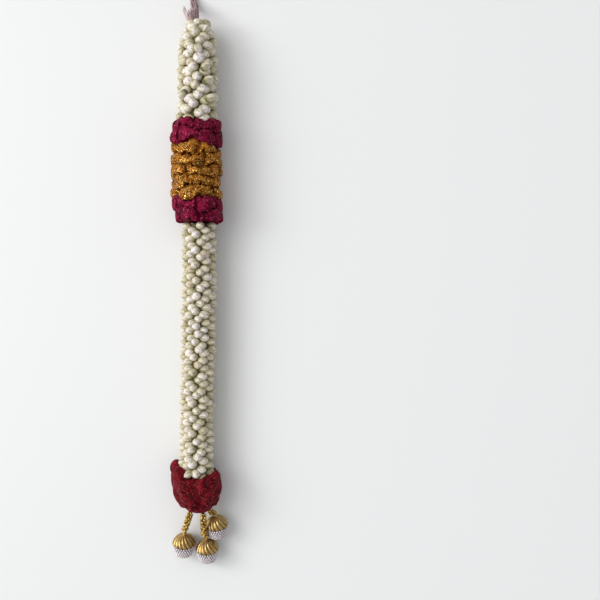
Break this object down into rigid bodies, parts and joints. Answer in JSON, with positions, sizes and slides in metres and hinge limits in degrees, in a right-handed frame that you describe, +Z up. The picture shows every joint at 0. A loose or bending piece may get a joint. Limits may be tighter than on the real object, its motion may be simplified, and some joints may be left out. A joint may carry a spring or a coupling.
{
  "type": "jasmine bud garland strand",
  "caption": "Long strand of strung jasmine buds with crimson and gold gathered cloth bands, a crimson pompon and pearl-studded gilt bells on bead chains",
  "frame": {"origin": "bottom centre of the box of the strand as it lies, without its free threads", "axes": "+Y along the strand towards the end that it hangs by, +Z up from the surface that it lies on"},
  "size_m": [0.0729, 0.7883, 0.061],
  "materials": {
    "jasmine_buds": "satin",
    "crimson_cloth": "satin",
    "gold_cloth": "satin",
    "gilt_metal": "polished",
    "pearls": "gloss",
    "cotton_thread": "matte"
  },
  "bodies": {
    "root": {"tie_threads": "cotton_thread", "tie_knot": "cotton_thread", "core_string": "cotton_thread", "upper_buds": "jasmine_buds", "crimson_ruffle_1": "crimson_cloth", "crimson_ruffle_2": "crimson_cloth", "gold_ruffle_1": "gold_cloth", "gold_ruffle_2": "gold_cloth", "gold_ruffle_3": "gold_cloth", "gold_ruffle_4": "gold_cloth", "gold_ruffle_5": "gold_cloth", "crimson_ruffle_3": "crimson_cloth", "crimson_ruffle_4": "crimson_cloth", "lower_buds": "jasmine_buds", "pompon": "crimson_cloth", "chain_left": "gilt_metal", "bell_left": "gilt_metal", "pearls_left": "pearls", "chain_front": "gilt_metal", "bell_front": "gilt_metal", "pearls_front": "pearls", "chain_back": "gilt_metal", "bell_back": "gilt_metal", "pearls_back": "pearls"}
  },
  "joints": []
}
